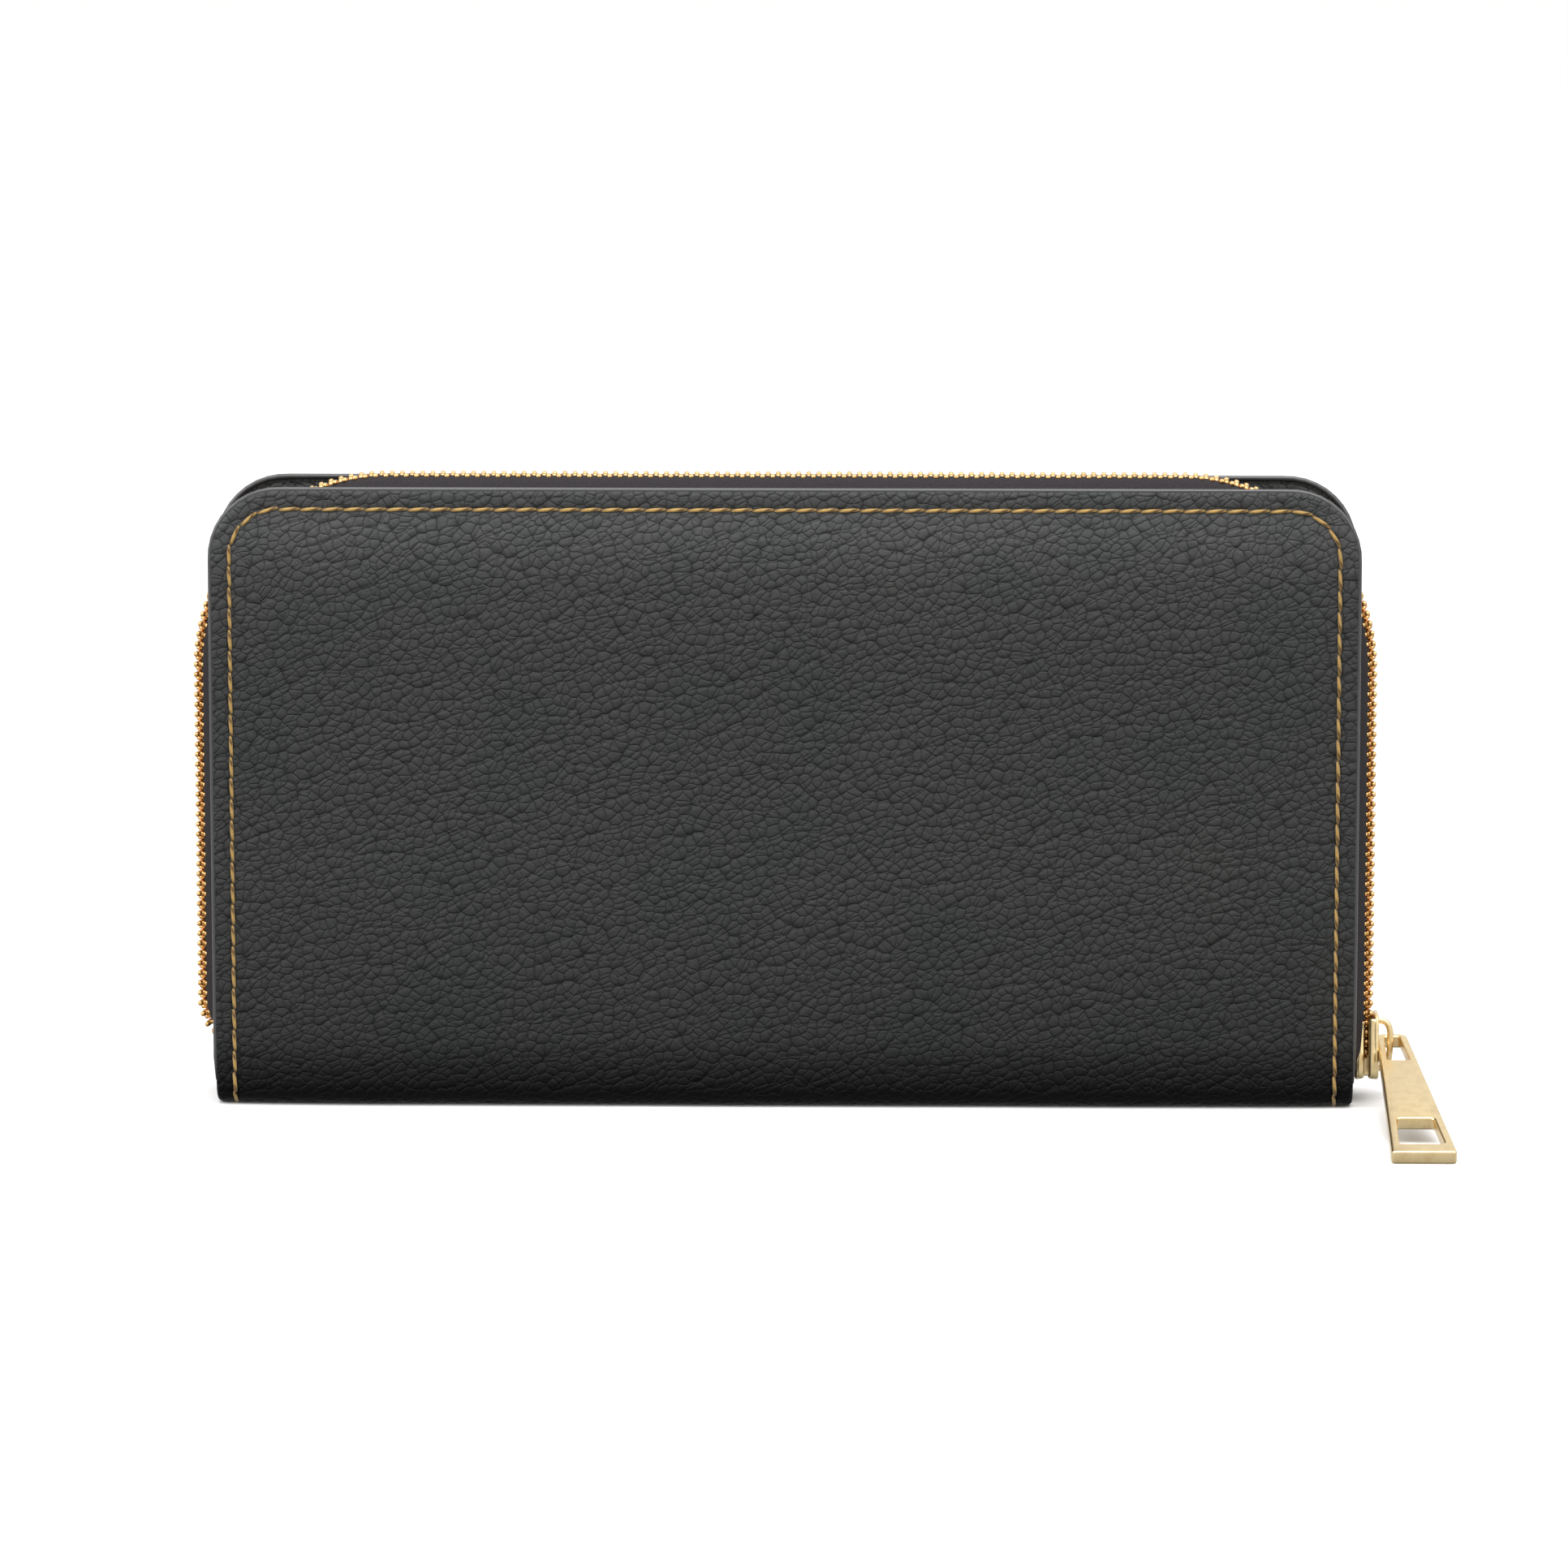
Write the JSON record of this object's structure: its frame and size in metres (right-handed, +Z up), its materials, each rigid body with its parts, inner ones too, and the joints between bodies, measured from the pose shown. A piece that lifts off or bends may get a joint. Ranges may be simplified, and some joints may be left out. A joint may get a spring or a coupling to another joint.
{
  "type": "zip around wallet",
  "caption": "Long leather wallet standing on its spine, closed by a metal zip round three sides, with card slots in both halves and a zipped coin pocket on a central leaf.",
  "frame": {"origin": "middle of the spine's flat underside, on the surface the wallet stands on", "axes": "+X along the wallet's width towards the slider's side, -Y out of the front cover, +Z up"},
  "size_m": [0.2193, 0.0649, 0.1114],
  "materials": {
    "outer_leather": "black pebble grain, satin",
    "inner_leather": "black smooth grain, satin",
    "gusset_leather": "thin black smooth leather",
    "lining": "charcoal twill",
    "board": "grey board",
    "zip_tape": "dark woven tape",
    "zip_gold": "polished gold",
    "pull_gold": "satin pale gold plate",
    "thread": "ochre waxed thread"
  },
  "bodies": {
    "back_half": {"spine_leather": "outer_leather", "spine_lining": "lining", "back_cover_leather": "outer_leather", "back_cover_board": "board", "back_cover_lining": "lining", "back_bill_divider": "inner_leather", "back_card_slot_1": "inner_leather", "back_card_slot_2": "inner_leather", "back_card_slot_3": "inner_leather", "back_card_slot_4": "inner_leather", "zip_tape_back": "zip_tape", "zip_teeth_back": "zip_gold", "zip_end_stops": "zip_gold", "left_gusset": "gusset_leather", "right_gusset": "gusset_leather", "back_stitching": "thread"},
    "front_half": {"front_cover_leather": "outer_leather", "front_cover_board": "board", "front_cover_lining": "lining", "front_bill_divider": "inner_leather", "front_card_slot_1": "inner_leather", "front_card_slot_2": "inner_leather", "front_card_slot_3": "inner_leather", "front_card_slot_4": "inner_leather", "zip_tape_front": "zip_tape", "zip_teeth_front": "zip_gold", "front_stitching": "thread"},
    "coin_pocket": {"coin_pocket_front_panel": "inner_leather", "coin_pocket_back_panel": "inner_leather", "coin_pocket_edge": "inner_leather", "coin_zip_tape": "zip_tape", "coin_zip_teeth": "zip_gold"},
    "coin_zip_slider": {"coin_zip_slider": "pull_gold"},
    "coin_zip_pull": {"coin_zip_pull": "pull_gold"},
    "zip_slider": {"zip_slider": "pull_gold", "zip_slider_bridge": "pull_gold"},
    "zip_pull": {"zip_pull": "pull_gold"}
  },
  "joints": [
    {"name": "cover_fold", "type": "hinge", "parent": "back_half", "child": "front_half", "pos_m": [0, -0.0094, 0.0008], "axis": [1, 0, 0], "range_deg": [0, 70]},
    {"name": "coin_pocket_fold", "type": "hinge", "parent": "back_half", "child": "coin_pocket", "pos_m": [0, 0, 0.0044], "axis": [1, 0, 0], "range_deg": [0, 35]},
    {"name": "zip_slide", "type": "slide", "parent": "back_half", "child": "zip_slider", "axis": [0, 0, 1], "range_m": [0, 0.065]},
    {"name": "zip_pull_swing", "type": "hinge", "parent": "zip_slider", "child": "zip_pull", "pos_m": [0.1055, 0, 0.009], "axis": [1, 0, 0], "range_deg": [-60, 0]},
    {"name": "coin_zip_slide", "type": "slide", "parent": "coin_pocket", "child": "coin_zip_slider", "axis": [-1, 0, 0], "range_m": [0, 0.146]},
    {"name": "coin_zip_pull_swing", "type": "hinge", "parent": "coin_zip_slider", "child": "coin_zip_pull", "pos_m": [0.074, 0, 0.08815], "axis": [0, 1, 0], "range_deg": [0, 180]}
  ],
  "couplings": [
    {"joint": "coin_pocket_fold", "follows": "cover_fold", "ratio": 0.5}
  ]
}
